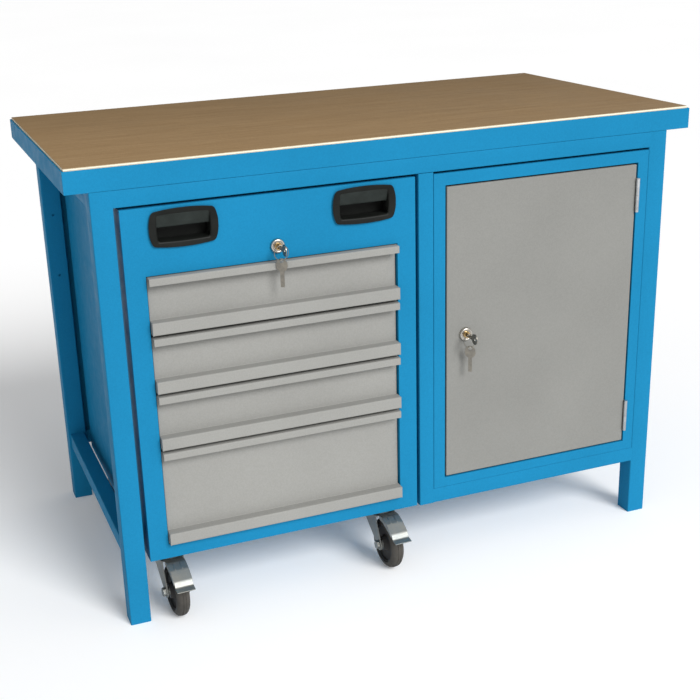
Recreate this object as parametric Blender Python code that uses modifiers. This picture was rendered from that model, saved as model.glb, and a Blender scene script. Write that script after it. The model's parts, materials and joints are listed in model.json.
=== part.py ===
"""Workbench with a roll-out drawer cart and a lockable cabinet.

Units are metres, +Z is up, the front faces -Y, and the origin is on the floor under the middle
of the footprint. A welded frame of square tube carries a wooden top in an angle-steel edge. The
left bay holds a drawer cart on four casters, and the right bay holds a sheet-steel cabinet.
"""
import math

import bmesh
import bpy
from mathutils import Matrix, Vector

# Driving dimensions of the bench.
TOP_WIDTH = 1.200
TOP_DEPTH = 0.620
TOP_HEIGHT = 0.850
BOARD_PROUD = 0.004
EDGE_HEIGHT = 0.038
EDGE_FLANGE = 0.030
EDGE_WALL = 0.003
LEG = 0.038
RAIL = 0.030
TUBE_WALL = 0.002
OVERHANG_LEFT = 0.0395
OVERHANG_RIGHT = 0.0485
OVERHANG_REAR = 0.015
POST_LEFT_X = 0.0265
CABINET_RAIL_Z = 0.120
SIDE_RAIL_Z = 0.1255
SIDE_RAIL_INSET = 0.004
GAP = 0.0003
LEG_HOLE_ZS = (0.650, 0.520)
LEG_HOLE_RADIUS = 0.0025

# Casters: a 100 mm wheel under a plate, with its wheel trailing behind the swivel.
CASTER_HEIGHT = 0.122
WHEEL_RADIUS = 0.050
WHEEL_WIDTH = 0.026
TRAIL = 0.042
REST_SWIVELS = {"left": math.radians(2.5), "right": math.radians(2.0)}
PEDAL_REACH = 0.0595
PEDAL_OVERHANG = 0.0605
SWIVEL_INSET = 0.051
CASTER_SPREAD = 0.215
CASTER_SHIFT = -0.008
PLATE_HALF = 0.0425
PLATE_THICK = 0.003
FORK_WALL = 0.0025
FORK_HALF = 0.0205
CROWN_Z = CASTER_HEIGHT - GAP - PLATE_THICK - 0.0135
AXLE_Z = WHEEL_RADIUS
AXLE_RADIUS = 0.005
EYE_RADIUS = 0.012

# The footprint runs from the brake pedals in front to the rear of the top.
FRONT = -(TOP_DEPTH - PEDAL_OVERHANG) / 2
REAR = FRONT + TOP_DEPTH
EDGE_TOP = TOP_HEIGHT - BOARD_PROUD
LEG_TOP = EDGE_TOP - EDGE_HEIGHT
LEFT = -TOP_WIDTH / 2 + OVERHANG_LEFT
RIGHT = TOP_WIDTH / 2 - OVERHANG_RIGHT
REAR_LEG = REAR - OVERHANG_REAR
RAIL_Z = LEG_TOP - RAIL
POST_RIGHT_X = POST_LEFT_X + RAIL

# Cart: a steel box with a plain panel above four drawers.
CART_WIDTH = 0.534
CART_DEPTH = 0.560
CART_TOP = 0.7735
CART_BOTTOM = CASTER_HEIGHT
CART_X = -0.247
PANEL_X = CART_X + 0.003
SHEET = 0.002
DRAWER_WIDTH = 0.460
DRAWER_GAP = 0.006
EDGE_GAP = 0.0015
OPENING_TOP = 0.6560
OPENING_BOTTOM = 0.1495
RETURN_DEPTH = 0.018
SMALL_FRONT = 0.101
DRAWER_DEPTH = 0.500
DRAWER_TRAVEL = 0.400
FRONT_RECESS = 0.008
LIP_PROUD = 0.012
TOP_LIP = 0.013
BOTTOM_LIP = 0.0220
DRAWER_SHEET = 0.0015
BOX_WIDTH = 0.432
RUNNER_WEB = 0.232
RUNNER_HEIGHT = 0.008
RUNNER_LIFT = 0.030

# Cabinet: a steel box with an inset door, hinged on its right.
CABINET_TOP_GAP = 0.004
CABINET_LEFT = POST_RIGHT_X + GAP
CABINET_RIGHT = RIGHT - LEG - GAP
CABINET_BOTTOM = CABINET_RAIL_Z + RAIL + GAP
CABINET_TOP = RAIL_Z - CABINET_TOP_GAP
CABINET_DEPTH = 0.565
DOOR_LEFT, DOOR_RIGHT = 0.0834, 0.4877
DOOR_BOTTOM, DOOR_TOP = 0.1728, 0.7483
DOOR_GAP = 0.003
DOOR_DEPTH = 0.018
SHELF_Z = 0.455
HINGE_X = DOOR_RIGHT + DOOR_GAP / 2 + 0.0005
HINGE_Y = FRONT - 0.0038
HINGE_RADIUS = 0.0035
HINGE_LENGTH = 0.066
HINGE_ZS = (("upper", 0.6560), ("lower", 0.1960))

# Locks and their keys.
LOCK_RADIUS = 0.013
PLUG_RADIUS = 0.0065
CART_LOCK = Vector((PANEL_X, FRONT, 0.681))
DOOR_LOCK = Vector((0.1225, FRONT, 0.4625))
RING_RADIUS = 0.0130
WIRE = 0.0007
RING_Y = -0.0205
KEY_SIDE_TURN = math.radians(55.0)

# Grip cups in the cart's panel.
CUP_SPACING = 0.328
CUP_Z = 0.7355
CUP_CORNER = (0.0510, 0.0265)
CUP_BULGE = (0.0065, 0.0045)
CUP_BEZEL = 0.004
CUP_DEPTH = 0.034
POCKET_HALF = (0.046, 0.0225)
CUP_WALL = 0.002

COLOURS = {
    "blue_steel": ((0.018, 0.285, 0.61), 0.38, 0.0),
    "grey_steel": ((0.42, 0.42, 0.39), 0.42, 0.0),
    "wood": ((0.30, 0.18, 0.09), 0.60, 0.0),
    "black_plastic": ((0.012, 0.012, 0.012), 0.45, 0.0),
    "zinc": ((0.55, 0.57, 0.60), 0.30, 1.0),
    "galvanised": ((0.40, 0.41, 0.42), 0.45, 1.0),
    "rubber": ((0.055, 0.052, 0.045), 0.75, 0.0),
    "nickel": ((0.60, 0.57, 0.50), 0.25, 1.0),
}


def clear_scene():
    for obj in list(bpy.data.objects):
        bpy.data.objects.remove(obj, do_unlink=True)


def make_collection(name):
    collection = bpy.data.collections.new(name)
    bpy.context.scene.collection.children.link(collection)
    return collection


def make_materials():
    made = {}
    for name, (colour, roughness, metallic) in COLOURS.items():
        mat = bpy.data.materials.new(name)
        mat.use_nodes = True
        shader = mat.node_tree.nodes["Principled BSDF"]
        shader.inputs["Base Color"].default_value = (*colour, 1.0)
        shader.inputs["Roughness"].default_value = roughness
        shader.inputs["Metallic"].default_value = metallic
        made[name] = mat
    return made


clear_scene()
PARTS = make_collection("workbench")
CUTTERS = make_collection("cutters")
MATERIALS = make_materials()


# --- Building blocks -------------------------------------------------------------------------

def axis_empty(name, position, parent=None, turn=0.0):
    """An empty on a joint's axis. Its pieces are modelled before the turn about Z."""
    empty = bpy.data.objects.new(name, None)
    empty["model_place"] = tuple(position)
    PARTS.objects.link(empty)
    put_under(empty, Vector(position), parent)
    empty.rotation_euler.z = turn
    return empty


def put_under(obj, place, parent):
    obj.parent = parent
    obj.location = place - Vector(parent["model_place"]) if parent else place


def add_piece(name, bm, material, parent=None, origin=None, cutter=False):
    """An object from a bmesh in model coordinates, with its origin on origin or its own middle."""
    mesh = bpy.data.meshes.new(name)
    if origin is None:
        corners = [vert.co for vert in bm.verts]
        origin = Vector([(min(c[i] for c in corners) + max(c[i] for c in corners)) / 2 for i in range(3)])
    origin = Vector(origin)
    bmesh.ops.translate(bm, verts=bm.verts, vec=-origin)
    bm.to_mesh(mesh)
    bm.free()
    obj = bpy.data.objects.new(name, mesh)
    (CUTTERS if cutter else PARTS).objects.link(obj)
    put_under(obj, origin, parent)
    if cutter:
        obj.hide_render = True
        obj.display_type = "WIRE"
    else:
        mesh.materials.append(MATERIALS[material])
    return obj


def box(low, high):
    bm = bmesh.new()
    low, high = Vector(low), Vector(high)
    bmesh.ops.create_cube(bm, size=1.0)
    bmesh.ops.scale(bm, verts=bm.verts, vec=high - low)
    bmesh.ops.translate(bm, verts=bm.verts, vec=(low + high) / 2)
    return bm


def open_box(low, high, open_sides):
    """A box without the faces whose outward normals are in open_sides."""
    bm = box(low, high)
    bm.normal_update()
    gone = [f for f in bm.faces if any(f.normal.dot(Vector(side)) > 0.9 for side in open_sides)]
    bmesh.ops.delete(bm, geom=gone, context="FACES")
    return bm


def cylinder(radius, start, end, segments=24):
    """A capped cylinder from start to end."""
    bm = bmesh.new()
    start, end = Vector(start), Vector(end)
    along = end - start
    bmesh.ops.create_cone(bm, cap_ends=True, segments=segments, radius1=radius, radius2=radius,
                          depth=along.length)
    turn = Vector((0, 0, 1)).rotation_difference(along).to_matrix().to_4x4()
    bmesh.ops.transform(bm, verts=bm.verts, matrix=Matrix.Translation((start + end) / 2) @ turn)
    return bm


def strip(points, along, start, end):
    """An open sheet: a path of points in the plane across an axis, drawn out along that axis."""
    bm = bmesh.new()
    across = [i for i in range(3) if i != along]
    verts = []
    for point in points:
        co = Vector()
        co[along] = start
        co[across[0]], co[across[1]] = point
        verts.append(bm.verts.new(co))
    edges = [bm.edges.new(pair) for pair in zip(verts, verts[1:])]
    drawn = bmesh.ops.extrude_edge_only(bm, edges=edges)
    shift = Vector()
    shift[along] = end - start
    moved = [g for g in drawn["geom"] if isinstance(g, bmesh.types.BMVert)]
    bmesh.ops.translate(bm, verts=moved, vec=shift)
    return bm


def plate(outline, along, start, end):
    """A flat outline drawn as a filled 2D curve, and thickened along an axis from start to end."""
    curve = bpy.data.curves.new("outline", "CURVE")
    curve.dimensions = "2D"
    curve.fill_mode = "BOTH"
    curve.extrude = abs(end - start) / 2
    spline = curve.splines.new("POLY")
    spline.points.add(len(outline) - 1)
    for point, (u, v) in zip(spline.points, outline):
        point.co = (u, v, 0, 1)
    spline.use_cyclic_u = True
    drawn = bpy.data.objects.new("outline", curve)
    PARTS.objects.link(drawn)
    mesh = bpy.data.meshes.new_from_object(drawn.evaluated_get(bpy.context.evaluated_depsgraph_get()))
    bpy.data.objects.remove(drawn)
    bm = bmesh.new()
    bm.from_mesh(mesh)
    bmesh.ops.remove_doubles(bm, verts=bm.verts, dist=0.00001)
    across = [i for i in range(3) if i != along]
    frame = Matrix.Identity(4)
    frame.col[0].xyz = [1.0 if i == across[0] else 0.0 for i in range(3)]
    frame.col[1].xyz = [1.0 if i == across[1] else 0.0 for i in range(3)]
    frame.col[2].xyz = [1.0 if i == along else 0.0 for i in range(3)]
    middle = Vector()
    middle[along] = (start + end) / 2
    bmesh.ops.transform(bm, verts=bm.verts, matrix=Matrix.Translation(middle) @ frame)
    bmesh.ops.recalc_face_normals(bm, faces=bm.faces)
    return bm


def solidify(obj, thickness, offset=-1.0):
    mod = obj.modifiers.new("wall", "SOLIDIFY")
    mod.thickness = thickness
    mod.offset = offset
    mod.use_even_offset = True


def boolean(obj, operation, other):
    mod = obj.modifiers.new(operation.lower(), "BOOLEAN")
    mod.operation = operation
    mod.solver = "EXACT"
    mod.object = other


def combine(obj, operation, bm, parent=None):
    """Cut, join or trim obj with a hidden helper body."""
    count = len(obj.modifiers)
    boolean(obj, operation, add_piece(f"{obj.name}_helper_{count}", bm, None, parent, cutter=True))


def turned(name, profile, material, parent, origin, steps=24):
    """A body turned about the X axis through origin, from (radius, x) points down its outer side."""
    bm = bmesh.new()
    verts = [bm.verts.new((radius, 0, x)) for radius, x in profile]
    for pair in zip(verts, verts[1:] + verts[:1]):
        bm.edges.new(pair)
    obj = add_piece(name, bm, material, parent, origin=(0, 0, 0))
    put_under(obj, Vector(origin), parent)
    obj.rotation_euler = (0, math.pi / 2, 0)
    mod = obj.modifiers.new("turn", "SCREW")
    mod.axis = "Z"
    mod.steps = steps
    mod.render_steps = steps
    mod.use_merge_vertices = True
    mod.merge_threshold = 0.00001
    mod.use_normal_calculate = True
    return obj


# --- Bench frame and top ---------------------------------------------------------------------

def tube(name, low, high, open_sides):
    obj = add_piece(name, open_box(low, high, open_sides), "blue_steel")
    solidify(obj, TUBE_WALL)
    return obj


def make_legs():
    for side, x in (("left", LEFT), ("right", RIGHT - LEG)):
        for end, y in (("front", FRONT), ("rear", REAR_LEG - LEG)):
            leg = tube(f"leg_{end}_{side}", (x, y, 0), (x + LEG, y + LEG, LEG_TOP - GAP), [(0, 0, 1)])
            if end == "rear":
                for z in LEG_HOLE_ZS:
                    middle = Vector((x + LEG / 2, y, z))
                    reach = Vector((0, LEG / 4, 0))
                    combine(leg, "DIFFERENCE", cylinder(LEG_HOLE_RADIUS, middle - reach, middle + reach, 16))


def make_rails():
    ends_x = [(1, 0, 0), (-1, 0, 0)]
    ends_y = [(0, 1, 0), (0, -1, 0)]
    inner_left = LEFT + LEG + GAP
    inner_right = RIGHT - LEG - GAP
    front_y = (FRONT, FRONT + RAIL)
    rear_y = (REAR_LEG - RAIL, REAR_LEG)
    side_y = (FRONT + LEG + GAP, REAR_LEG - LEG - GAP)
    top_z = LEG_TOP - GAP
    low_left = LEFT + SIDE_RAIL_INSET
    low_right = RIGHT - SIDE_RAIL_INSET
    for name, x, y, z, ends in (
            ("rail_front_top", (inner_left, inner_right), front_y, RAIL_Z, ends_x),
            ("rail_rear_top", (inner_left, inner_right), rear_y, RAIL_Z, ends_x),
            ("rail_rear_lower", (inner_left, inner_right), rear_y, SIDE_RAIL_Z, ends_x),
            ("rail_cabinet_lower", (POST_RIGHT_X + GAP, inner_right), front_y, CABINET_RAIL_Z, ends_x),
            ("rail_left_top", (LEFT, LEFT + RAIL), side_y, RAIL_Z, ends_y),
            ("rail_right_top", (RIGHT - RAIL, RIGHT), side_y, RAIL_Z, ends_y),
            ("rail_left_lower", (low_left, low_left + RAIL), side_y, SIDE_RAIL_Z, ends_y),
            ("rail_right_lower", (low_right - RAIL, low_right), side_y, SIDE_RAIL_Z, ends_y)):
        high_z = min(z + RAIL, top_z)
        tube(name, (x[0], y[0], z), (x[1], y[1], high_z), ends)
    panel_y = REAR_LEG - RAIL / 2
    add_piece("rear_panel", box((inner_left, panel_y, SIDE_RAIL_Z + RAIL + GAP),
                                (inner_right, panel_y + DRAWER_SHEET, RAIL_Z - GAP)), "blue_steel")
    tube("post_front_middle", (POST_LEFT_X, FRONT, CABINET_RAIL_Z),
         (POST_RIGHT_X, FRONT + RAIL, RAIL_Z - GAP), [(0, 0, 1)])


def make_top():
    half = TOP_WIDTH / 2
    edge = add_piece("top_edge_frame", box((-half, FRONT, LEG_TOP), (half, REAR, EDGE_TOP)), "blue_steel")
    combine(edge, "DIFFERENCE", box((-half + EDGE_WALL, FRONT + EDGE_WALL, LEG_TOP + EDGE_WALL),
                                    (half - EDGE_WALL, REAR - EDGE_WALL, TOP_HEIGHT)))
    combine(edge, "DIFFERENCE", box((-half + EDGE_FLANGE, FRONT + EDGE_FLANGE, LEG_TOP - EDGE_WALL),
                                    (half - EDGE_FLANGE, REAR - EDGE_FLANGE, TOP_HEIGHT)))
    inset = EDGE_WALL + GAP
    add_piece("worktop_board", box((-half + inset, FRONT + inset, LEG_TOP + inset),
                                   (half - inset, REAR - inset, TOP_HEIGHT)), "wood")


# --- Cabinet ---------------------------------------------------------------------------------

def make_cabinet():
    back = FRONT + CABINET_DEPTH
    shell = add_piece("cabinet_shell", box((CABINET_LEFT, FRONT, CABINET_BOTTOM),
                                           (CABINET_RIGHT, back, CABINET_TOP)), "blue_steel")
    solidify(shell, SHEET)
    frame = DOOR_GAP + SHEET
    combine(shell, "UNION", box((DOOR_LEFT - frame, FRONT + SHEET / 2, DOOR_BOTTOM - frame),
                                (DOOR_RIGHT + frame, FRONT + RETURN_DEPTH, DOOR_TOP + frame)))
    combine(shell, "DIFFERENCE", box(
        (DOOR_LEFT - DOOR_GAP, FRONT - 0.01, DOOR_BOTTOM - DOOR_GAP),
        (DOOR_RIGHT + DOOR_GAP, FRONT + RETURN_DEPTH + 0.01, DOOR_TOP + DOOR_GAP)))
    wall = SHEET + GAP
    shelf = add_piece("cabinet_shelf", open_box(
        (CABINET_LEFT + wall, FRONT + 0.060, SHELF_Z - 0.020),
        (CABINET_RIGHT - wall, back - wall, SHELF_Z), [(0, 0, -1)]), "grey_steel")
    solidify(shelf, DRAWER_SHEET)


def make_door():
    axis = axis_empty("door_axis", (HINGE_X, HINGE_Y, 0))
    door = add_piece("cabinet_door", open_box((DOOR_LEFT, FRONT, DOOR_BOTTOM),
                                              (DOOR_RIGHT, FRONT + DOOR_DEPTH, DOOR_TOP),
                                              [(0, 1, 0)]), "grey_steel", axis)
    solidify(door, DRAWER_SHEET)
    combine(door, "DIFFERENCE", lock_hole(DOOR_LOCK), axis)
    for name, z in HINGE_ZS:
        make_hinge(name, z, axis)
    make_lock("door", DOOR_LOCK, axis, cam_length=0.052, cam_turn=math.pi / 2)


def make_hinge(name, low, axis):
    """A lift-off hinge: the frame half carries the pin, and the door half turns on it."""
    middle = low + HINGE_LENGTH / 2
    leaf = 0.0012
    leaf_back = FRONT + 0.014
    pin = HINGE_RADIUS * 0.55
    centre = Vector((HINGE_X, HINGE_Y, 0))
    up = Vector((0, 0, 1))
    frame_half = add_piece(f"hinge_{name}_frame_half",
                           cylinder(HINGE_RADIUS, centre + up * low, centre + up * middle), "galvanised")
    combine(frame_half, "UNION", cylinder(pin, centre + up * (low + 0.01),
                                          centre + up * (middle + HINGE_LENGTH * 0.35), 16))
    leaf_x = DOOR_RIGHT + DOOR_GAP - GAP
    combine(frame_half, "UNION", box((leaf_x - leaf, HINGE_Y, low), (leaf_x, leaf_back, middle)))
    door_half = add_piece(f"hinge_{name}_door_half",
                          cylinder(HINGE_RADIUS, centre + up * (middle + GAP),
                                   centre + up * (low + HINGE_LENGTH)), "galvanised", axis)
    leaf_x = DOOR_RIGHT + GAP
    combine(door_half, "UNION", box((leaf_x, HINGE_Y, middle + GAP),
                                    (leaf_x + leaf, leaf_back, low + HINGE_LENGTH)), axis)
    bore_top = middle + HINGE_LENGTH * 0.35 + 0.0005
    combine(door_half, "DIFFERENCE",
            cylinder(pin + 0.0002, centre + up * middle, centre + up * bore_top, 16), axis)


# --- Locks and keys --------------------------------------------------------------------------

def lock_hole(place):
    return cylinder(0.0092, place - Vector((0, 0.01, 0)), place + Vector((0, 0.01, 0)))


def make_lock(owner, place, parent, cam_length, cam_turn):
    """A cam lock: its body stays put, and the plug, cam and key turn about the lock's axis."""
    def at(x, y, z):
        return place + Vector((x, y, z))

    face = -0.006
    back = 0.0195
    body = add_piece(f"{owner}_lock_body", cylinder(LOCK_RADIUS, at(0, face, 0), at(0, -GAP, 0), 32),
                     "nickel", parent)
    combine(body, "UNION", cylinder(0.0088, at(0, -0.001, 0), at(0, back, 0)), parent)
    combine(body, "DIFFERENCE",
            cylinder(PLUG_RADIUS + 0.0002, at(0, -0.01, 0), at(0, back + 0.01, 0)), parent)

    axis = axis_empty(f"{owner}_lock_axis", place, parent)
    plug = add_piece(f"{owner}_lock_plug", cylinder(PLUG_RADIUS, at(0, face - 0.001, 0), at(0, 0.0205, 0)),
                     "nickel", axis)
    arm = box(at(-0.007, 0.0202, -0.007), at(cam_length, 0.0225, 0.007))
    bmesh.ops.rotate(arm, verts=arm.verts, cent=place, matrix=Matrix.Rotation(cam_turn, 3, "Y"))
    combine(plug, "UNION", arm, axis)
    combine(plug, "DIFFERENCE", box(at(-0.0013, -0.01, -0.0042), at(0.0013, 0.0145, 0.0042)), axis)
    make_key(owner, at, axis)
    make_spare_key(owner, at, parent)


def key_outline(bow_start, bow_length, bow_half, blade_end, blade_half):
    """Half-round bow and a straight blade, as (along, across) points."""
    steps = 10
    middle = bow_start + bow_length / 2
    points = [(blade_end, -blade_half), (blade_end, blade_half)]
    for step in range(steps + 1):
        angle = math.radians(20) + math.radians(320) * step / steps
        points.append((middle + math.cos(angle) * bow_length / 2 * math.copysign(1, blade_end - middle),
                       math.sin(angle) * bow_half))
    return points


def make_key(owner, at, axis):
    """The key in the plug, standing on edge, with a straight neck that the ring hangs on."""
    half = 0.001
    outline = key_outline(RING_Y - 0.028, 0.021, 0.0105, 0.0135, 0.0035)
    origin = at(0, 0, 0)
    bm = plate([(origin.y + y, origin.z + z) for y, z in outline], 0, origin.x - half, origin.x + half)
    key = add_piece(f"{owner}_key", bm, "nickel", axis)
    combine(key, "DIFFERENCE", cylinder(0.003, at(-0.01, RING_Y - 0.020, 0),
                                        at(0.01, RING_Y - 0.020, 0), 16), axis)


def make_spare_key(owner, at, parent):
    """A ring round the neck of the key, with a spare key on it. Both swing about the neck."""
    drop = 0.0047
    axis = axis_empty(f"{owner}_spare_axis", at(0, RING_Y, 0), parent)
    middle = at(0, RING_Y, drop - RING_RADIUS)
    bm = bmesh.new()
    section = Matrix.Translation(middle + Vector((RING_RADIUS, 0, 0)))
    wire = bmesh.ops.create_circle(bm, segments=8, radius=WIRE, matrix=section)
    bmesh.ops.spin(bm, geom=bm.edges[:] + wire["verts"], cent=middle, axis=(0, 1, 0), angle=math.tau,
                   steps=28, use_merge=True)
    bmesh.ops.recalc_face_normals(bm, faces=bm.faces)
    add_piece(f"{owner}_key_ring", bm, "nickel", axis)

    hang = drop - 2 * RING_RADIUS
    outline = key_outline(0.0, 0.025, 0.0105, 0.052, 0.0035)
    top = hang + 0.0036
    half = 0.0008
    base = at(0, RING_Y, top)
    bm = plate([(base.x + side, base.z - down) for down, side in outline], 1, base.y - half, base.y + half)
    bmesh.ops.rotate(bm, verts=bm.verts, cent=base,
                     matrix=Matrix.Rotation(KEY_SIDE_TURN - math.pi / 2, 3, "Z"))
    spare = add_piece(f"{owner}_spare_key", bm, "nickel", axis)
    hole_z = hang - 0.0014
    through = Matrix.Rotation(KEY_SIDE_TURN - math.pi / 2, 3, "Z") @ Vector((0, 0.01, 0))
    combine(spare, "DIFFERENCE", cylinder(0.0036, at(0, RING_Y, hole_z) - through,
                                          at(0, RING_Y, hole_z) + through, 16), axis)


# --- Drawer cart -----------------------------------------------------------------------------

def drawer_layout():
    """Top and bottom heights of each drawer front, from the top drawer down."""
    rows = []
    top = OPENING_TOP - EDGE_GAP
    for _ in range(3):
        rows.append((top, top - SMALL_FRONT))
        top -= SMALL_FRONT + DRAWER_GAP
    rows.append((top, OPENING_BOTTOM + 2 * EDGE_GAP))
    return rows


def cart_box(half_width, low_y, high_y, low_z, high_z):
    return (CART_X - half_width, low_y, low_z), (CART_X + half_width, high_y, high_z)


def make_cart_shell(parent):
    back = FRONT + CART_DEPTH
    shell = add_piece("cart_shell", box(*cart_box(CART_WIDTH / 2, FRONT, back, CART_BOTTOM, CART_TOP)),
                      "blue_steel", parent)
    solidify(shell, SHEET)
    opening = DRAWER_WIDTH / 2 + 0.0012
    combine(shell, "UNION", box(*cart_box(opening + SHEET, FRONT + SHEET / 2, FRONT + RETURN_DEPTH,
                                          OPENING_BOTTOM - SHEET, OPENING_TOP + SHEET)), parent)
    combine(shell, "DIFFERENCE", box(*cart_box(opening, FRONT - 0.01, FRONT + RETURN_DEPTH + 0.01,
                                               OPENING_BOTTOM, OPENING_TOP)), parent)
    hole_x, hole_z = (half + CUP_WALL + 0.0005 for half in POCKET_HALF)
    for x in cup_places():
        combine(shell, "DIFFERENCE", box((x - hole_x, FRONT - 0.01, CUP_Z - hole_z),
                                         (x + hole_x, FRONT + 0.01, CUP_Z + hole_z)), parent)
    combine(shell, "DIFFERENCE", lock_hole(CART_LOCK), parent)


def cup_places():
    return PANEL_X - CUP_SPACING / 2, PANEL_X + CUP_SPACING / 2


def cup_outline(centre_x):
    """A barrel-shaped outline: a rectangle with bulging sides and clipped corners."""
    half_x, half_z = CUP_CORNER
    long_steps = [-0.88 + 0.22 * step for step in range(9)]
    short_steps = [-0.74 + 0.37 * step for step in range(5)]
    top = [(half_x * t, half_z + CUP_BULGE[1] * (1 - t * t)) for t in long_steps]
    right = [(half_x + CUP_BULGE[0] * (1 - t * t), -half_z * t) for t in short_steps]
    corner = (half_x * 0.995, half_z * 0.965)
    quarter = top + [corner] + right
    points = quarter + [(corner[0], -corner[1])] + [(-x, -z) for x, z in quarter] + [(-corner[0], corner[1])]
    return [(centre_x + x, CUP_Z + z) for x, z in points]


def make_grip_cups(parent):
    """Plastic cups let into the panel. A sloping guard covers the upper half of each pocket."""
    half_x, half_z = POCKET_HALF
    front = FRONT - GAP - CUP_BEZEL
    for side, x in zip(("left", "right"), cup_places()):
        cup = add_piece(f"grip_cup_{side}", plate(cup_outline(x), 1, front, FRONT - GAP),
                        "black_plastic", parent)
        combine(cup, "UNION", box((x - half_x - CUP_WALL, front + 0.001, CUP_Z - half_z - CUP_WALL),
                                  (x + half_x + CUP_WALL, FRONT + CUP_DEPTH, CUP_Z + half_z + CUP_WALL)),
                parent)
        combine(cup, "DIFFERENCE", box((x - half_x, front - 0.01, CUP_Z - half_z),
                                       (x + half_x, FRONT + CUP_DEPTH - CUP_WALL, CUP_Z + half_z)), parent)
        guard = plate([(front + 0.0005, CUP_Z + half_z + 0.001), (front + 0.003, CUP_Z + half_z + 0.001),
                       (FRONT + 0.012, CUP_Z + 0.002), (FRONT + 0.0095, CUP_Z + 0.0005)],
                      0, x - half_x - 0.001, x + half_x + 0.001)
        combine(cup, "UNION", guard, parent)


def make_runner_panels(parent):
    """Inner side panels. Each drawer's rail runs between a lower and an upper ledge."""
    web = RUNNER_WEB
    low_y = FRONT + SHEET + 0.020
    high_y = FRONT + CART_DEPTH - 0.030
    wall_x = CART_WIDTH / 2 - SHEET - GAP - DRAWER_SHEET / 2
    for side, sign in (("left", -1), ("right", 1)):
        path = [(CART_X + sign * wall_x, low_y), (CART_X + sign * web, low_y),
                (CART_X + sign * web, high_y), (CART_X + sign * wall_x, high_y)]
        panel = add_piece(f"runner_panel_{side}", strip(path, 2, OPENING_BOTTOM, OPENING_TOP),
                          "galvanised", parent)
        solidify(panel, DRAWER_SHEET, offset=0.0)
        for top, bottom in drawer_layout():
            for z in runner_ledges(bottom):
                xs = sorted((CART_X + sign * (web + 0.0002), CART_X + sign * (BOX_WIDTH / 2 + 0.003)))
                combine(panel, "UNION", box((xs[0], low_y, z), (xs[1], high_y, z + DRAWER_SHEET)), parent)


def runner_ledges(bottom):
    """Heights of the lower and upper ledge for the drawer with this front bottom."""
    rail_low = bottom + RUNNER_LIFT
    return rail_low - 0.0005 - DRAWER_SHEET, rail_low + RUNNER_HEIGHT + 0.0005


def make_drawers(cart):
    half = DRAWER_WIDTH / 2
    face = FRONT + FRONT_RECESS
    back = FRONT + FRONT_RECESS + DRAWER_DEPTH
    lip = FRONT - LIP_PROUD
    for number, (top, bottom) in enumerate(drawer_layout(), start=1):
        axis = axis_empty(f"drawer_{number}_axis", (CART_X, FRONT, (top + bottom) / 2), cart)
        edge = DRAWER_SHEET / 2
        path = [(lip, top - TOP_LIP), (lip, top - edge), (face, top - edge), (face, bottom + BOTTOM_LIP),
                (lip, bottom + BOTTOM_LIP), (lip, bottom + edge), (face, bottom + edge)]
        front = add_piece(f"drawer_{number}_front", strip(path, 0, CART_X - half, CART_X + half),
                          "grey_steel", axis)
        solidify(front, DRAWER_SHEET, offset=0.0)
        for sign in (-1, 1):
            xs = sorted((CART_X + sign * half, CART_X + sign * (half - DRAWER_SHEET)))
            ledge_top = bottom + BOTTOM_LIP + edge
            combine(front, "UNION", box((xs[0], lip - edge, bottom), (xs[1], face, ledge_top)), axis)
        low = (CART_X - BOX_WIDTH / 2, face + edge + GAP, bottom + 0.012)
        high = (CART_X + BOX_WIDTH / 2, back, top - 0.018)
        tray = add_piece(f"drawer_{number}_box", open_box(low, high, [(0, 0, 1)]), "galvanised", axis)
        solidify(tray, DRAWER_SHEET)
        rail_z = bottom + RUNNER_LIFT
        for sign in (-1, 1):
            xs = sorted((CART_X + sign * (BOX_WIDTH / 2 - 0.0005), CART_X + sign * DRAWER_WIDTH / 2))
            combine(tray, "UNION", box((xs[0], face + 0.040, rail_z), (xs[1], back - 0.010,
                                                                      rail_z + RUNNER_HEIGHT)), axis)


# --- Casters ---------------------------------------------------------------------------------

def cheek_outline(pivot, axle_y):
    """Side view of a fork: broad at its crown and rounded about the axle."""
    crown_half = 0.029
    points = [(pivot.y + crown_half, CROWN_Z + 0.01), (pivot.y - crown_half, CROWN_Z + 0.01),
              (pivot.y - crown_half, CROWN_Z - 0.004)]
    for step in range(9):
        angle = math.pi + math.pi * step / 8
        points.append((axle_y + EYE_RADIUS * math.cos(angle), AXLE_Z + EYE_RADIUS * math.sin(angle)))
    points.append((pivot.y + crown_half, CROWN_Z - 0.010))
    return points


def make_fork(name, pivot, axle_y, parent):
    """A pressed fork: a channel over the wheel, trimmed to its side outline."""
    half = FORK_HALF
    low = AXLE_Z - EYE_RADIUS - 0.002
    path = [(pivot.x - half, low), (pivot.x - half, CROWN_Z), (pivot.x + half, CROWN_Z),
            (pivot.x + half, low)]
    fork = add_piece(name, strip(path, 1, pivot.y - 0.085, pivot.y + 0.05), "zinc", parent)
    solidify(fork, FORK_WALL, offset=0.0)
    outline = plate(cheek_outline(pivot, axle_y), 0, pivot.x - 0.05, pivot.x + 0.05)
    combine(fork, "INTERSECT", outline, parent)
    return fork


def drill_fork(fork, pivot, axle_y, parent):
    reach = Vector((0.05, 0, 0))
    middle = Vector((pivot.x, axle_y, AXLE_Z))
    combine(fork, "DIFFERENCE", cylinder(AXLE_RADIUS + 0.0003, middle - reach, middle + reach), parent)


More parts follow.
